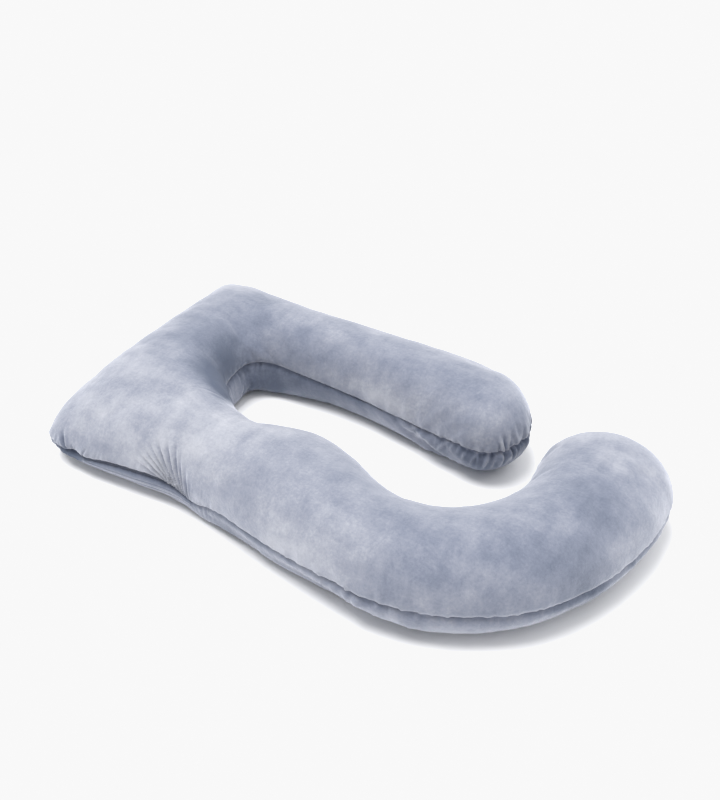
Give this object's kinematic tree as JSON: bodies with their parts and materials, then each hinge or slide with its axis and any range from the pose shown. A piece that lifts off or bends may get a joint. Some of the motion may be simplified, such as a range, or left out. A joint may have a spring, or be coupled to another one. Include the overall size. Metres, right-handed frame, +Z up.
{
  "type": "pregnancy pillow",
  "caption": "G-shaped velvet pregnancy pillow: a stuffed tube that bends round a hollow for the body, with a straight back arm, a squared head end and a hooked front arm.",
  "frame": {"origin": "on the surface that the pillow lies on, under the middle of its box", "axes": "+X from the squared head end to the hooked arm, +Y from the front arm to the straight back arm, +Z up"},
  "size_m": [1.3282, 0.759, 0.2042],
  "materials": {
    "velvet": "blue-grey short-pile velvet, brushed, matt with a soft sheen"
  },
  "bodies": {
    "root": {"pillow": "velvet", "zip_flap": "velvet"}
  },
  "joints": []
}
